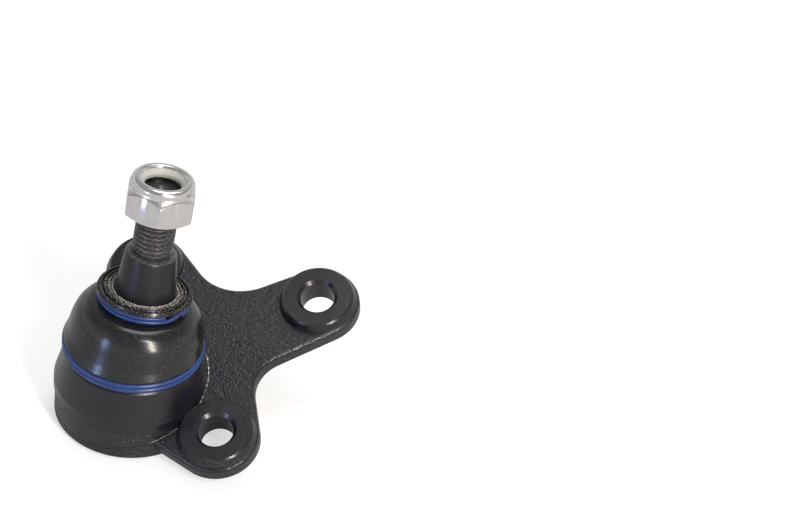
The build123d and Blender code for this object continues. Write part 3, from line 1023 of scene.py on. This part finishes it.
class BALLJOINT_OT_rings(bpy.types.Operator):
    """Wind the two blue spring rings that hold the boot"""

    bl_idname = "balljoint.rings"
    bl_label = "Spring Rings"

    def execute(self, context):
        colours = context.scene.ball_joint_colours
        # Spring wire dipped in blue plastic: even colour with a soft shine and small scuffs
        coating = speckled(
            "spring_wire_blue_coated",
            tuple(colours.wire),
            tinted(colours.wire, 1.25, 0.006),
            tinted(colours.wire, 0.75),
            metallic=0.0,
            roughness=0.34,
            spot=1.5,
            bump_height=0.02,
        )
        flat = np.identity(3)
        lower = wound_ring(
            "lower_spring_ring",
            radius=20.35,
            wire_radius=0.75,
            centre=10.695,
            crossing=60.0,
            material=coating,
            basis=flat,
        )
        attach(lower, "housing")
        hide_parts("boot_lower_ring")
        upper = wound_ring(
            "upper_spring_ring",
            radius=13.27,
            wire_radius=0.62,
            centre=26.165,
            crossing=-108.0,
            material=coating,
            basis=stud_basis,
        )
        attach(upper, "collar")
        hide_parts("boot_upper_ring")
        return {"FINISHED"}


def wound_ring(name, radius, wire_radius, centre, crossing, material, basis):
    """Two flat turns of wire with a short crossing between them and two free ends beside it."""
    gap = 0.05
    half_pitch = wire_radius + gap / 2
    half_angle = 12.0
    end_gap = 3.0
    start = crossing + half_angle + end_gap
    end = crossing + 720.0 - half_angle - end_gap
    angle = np.radians(np.linspace(start, end, 420))
    cross_start = math.radians(crossing + 360.0 - half_angle)
    cross_end = math.radians(crossing + 360.0 + half_angle)
    share = np.clip((angle - cross_start) / (cross_end - cross_start), 0, 1)
    height = centre + half_pitch * (2 * share * share * (3 - 2 * share) - 1)
    path = np.column_stack([radius * np.cos(angle), radius * np.sin(angle), height])
    return build_piece(
        name, [skin(tube_rings(path, wire_radius, 18))], material, math.radians(50), basis
    )


# ---- Stage ----------------------------------------------------------------------------------------
class BALLJOINT_OT_stage(bpy.types.Operator):
    """Set the floor, the lamps, the background and the camera"""

    bl_idname = "balljoint.stage"
    bl_label = "Stage"

    def execute(self, context):
        scene = context.scene
        floor_mesh = bpy.data.meshes.new("studio_floor")
        reach = 6.0
        level = cad_box[0][2] - 0.02 * MM
        corners = [
            (across * reach, along * reach, level)
            for across, along in ((-1, -1), (1, -1), (1, 1), (-1, 1))
        ]
        floor_mesh.from_pydata(corners, [], [(0, 1, 2, 3)])
        floor = bpy.data.objects.new("studio_floor", floor_mesh)
        scene.collection.objects.link(floor)
        floor_mesh.materials.append(floor_paper())
        set_world(scene)
        add_lamp("lamp_front", (-0.37, -0.88, 0.62), (0.10, 0.95), 14.0, "#fff6ee")
        add_lamp("lamp_left", (-0.88, 0.22, 0.14), (0.12, 0.30), 1.6, "#a8c0ff")
        add_lamp("lamp_top", (0.40, 0.10, 1.0), (0.5, 0.7), 5.0, "#ffffff")
        camera_data = bpy.data.cameras.new("camera")
        camera_data.sensor_width = 36.0
        camera_data.lens = 108.94
        camera_data.clip_start = 0.01
        camera_data.clip_end = 50.0
        camera = bpy.data.objects.new("camera", camera_data)
        scene.collection.objects.link(camera)
        right = Vector((0.57885, -0.80552, 0.12673))
        down = Vector((-0.45901, -0.45034, -0.76584))
        forward = Vector((0.67397, 0.38514, -0.63042))
        turn = Matrix((right, -down, -forward)).transposed().to_4x4()
        place = (-0.42610, -0.32861, 0.48871)
        camera.matrix_world = Matrix.Translation(place) @ turn
        scene.camera = camera
        scene.view_settings.view_transform = "Standard"
        return {"FINISHED"}


def mirrored(tree, path):
    """One for rays from a shiny surface or through a clear one, and nought for others."""
    return add_node(
        tree,
        "ShaderNodeMath",
        {0: path["Is Glossy Ray"], 1: path["Is Transmission Ray"]},
        operation="MAXIMUM",
    ).outputs[0]


def floor_paper():
    """Matt white paper: shows the soft shadow and goes to white away from it."""
    material, tree, shader = new_material("paper_matt_white")
    shader.inputs["Base Color"].default_value = linear("#bcbcbc")
    shader.inputs["Roughness"].default_value = 0.9
    shader.inputs["Specular IOR Level"].default_value = 0.1
    path = add_node(tree, "ShaderNodeLightPath").outputs
    reflected = add_node(
        tree, "ShaderNodeMath", {0: mirrored(tree, path), 1: FLOOR_REFLECTED}, operation="MULTIPLY"
    ).outputs[0]
    glow = add_node(
        tree,
        "ShaderNodeMath",
        {0: path["Is Camera Ray"], 1: FLOOR_GLOW, 2: reflected},
        operation="MULTIPLY_ADD",
    ).outputs[0]
    shader.inputs["Emission Color"].default_value = (1, 1, 1, 1)
    tree.links.new(glow, shader.inputs["Emission Strength"])
    return material


def set_world(scene):
    """A room that is white to the camera: its walls are white in reflections, its ceiling is dimmer."""
    world = bpy.data.worlds.new("studio_room")
    scene.world = world
    world.use_nodes = True
    tree = world.node_tree
    tree.nodes.clear()
    path = add_node(tree, "ShaderNodeLightPath").outputs
    towards = add_node(tree, "ShaderNodeTexCoord").outputs["Generated"]
    height = add_node(tree, "ShaderNodeSeparateXYZ", {0: towards}).outputs[2]
    wall = add_node(
        tree, "ShaderNodeMapRange", {0: height, 1: 0.1, 2: 0.5, 3: 1.0, 4: ROOM_LIGHT}
    ).outputs[0]
    room = add_node(
        tree,
        "ShaderNodeMapRange",
        {0: mirrored(tree, path), 1: 0.0, 2: 1.0, 3: ROOM_LIGHT, 4: wall},
    ).outputs[0]
    level = add_node(
        tree, "ShaderNodeMapRange", {0: path["Is Camera Ray"], 1: 0.0, 2: 1.0, 3: room, 4: 1.0}
    ).outputs[0]
    back = add_node(tree, "ShaderNodeBackground", {0: (1, 1, 1, 1), 1: level}).outputs[0]
    add_node(tree, "ShaderNodeOutputWorld", {0: back})


def add_lamp(name, place, size, power, hex_colour):
    """A soft box, wide and tall by size in metres, that faces the object."""
    data = bpy.data.lights.new(name, "AREA")
    data.shape = "RECTANGLE"
    data.size, data.size_y = size
    data.energy = power
    data.color = linear(hex_colour)[:3]
    lamp = bpy.data.objects.new(name, data)
    bpy.context.scene.collection.objects.link(lamp)
    lamp.location = place
    aim = Vector((0.01, 0, 0.01)) - Vector(place)
    lamp.rotation_mode = "QUATERNION"
    lamp.rotation_quaternion = aim.to_track_quat("-Z", "Y")


OPERATORS = (
    BALLJOINT_OT_forging,
    BALLJOINT_OT_bearing,
    BALLJOINT_OT_stud,
    BALLJOINT_OT_nut,
    BALLJOINT_OT_boot,
    BALLJOINT_OT_rings,
    BALLJOINT_OT_stage,
)


class BALLJOINT_PT_panel(bpy.types.Panel):
    """Lists the ball joint's sizes, colours and building steps"""

    bl_idname = "BALLJOINT_PT_panel"
    bl_label = "Suspension Ball Joint"
    bl_space_type = "VIEW_3D"
    bl_region_type = "UI"
    bl_category = "Ball Joint"

    def draw(self, context):
        for group in (context.scene.ball_joint_sizes, context.scene.ball_joint_colours):
            for name in group.bl_rna.properties.keys():
                if name not in {"rna_type", "name"}:
                    self.layout.prop(group, name)
        for operator in OPERATORS:
            self.layout.operator(operator.bl_idname)


CLASSES = (BallJointSizes, BallJointColours, *OPERATORS, BALLJOINT_PT_panel)


def register():
    for cls in CLASSES:
        bpy.utils.register_class(cls)
    bpy.types.Scene.ball_joint_sizes = bpy.props.PointerProperty(type=BallJointSizes)
    bpy.types.Scene.ball_joint_colours = bpy.props.PointerProperty(type=BallJointColours)


def unregister():
    del bpy.types.Scene.ball_joint_colours
    del bpy.types.Scene.ball_joint_sizes
    for cls in reversed(CLASSES):
        bpy.utils.unregister_class(cls)


def main():
    """Builds every piece and the stage."""
    register()
    for operator in OPERATORS:
        group, name = operator.bl_idname.split(".")
        getattr(getattr(bpy.ops, group), name)()


if __name__ == "__main__":
    main()
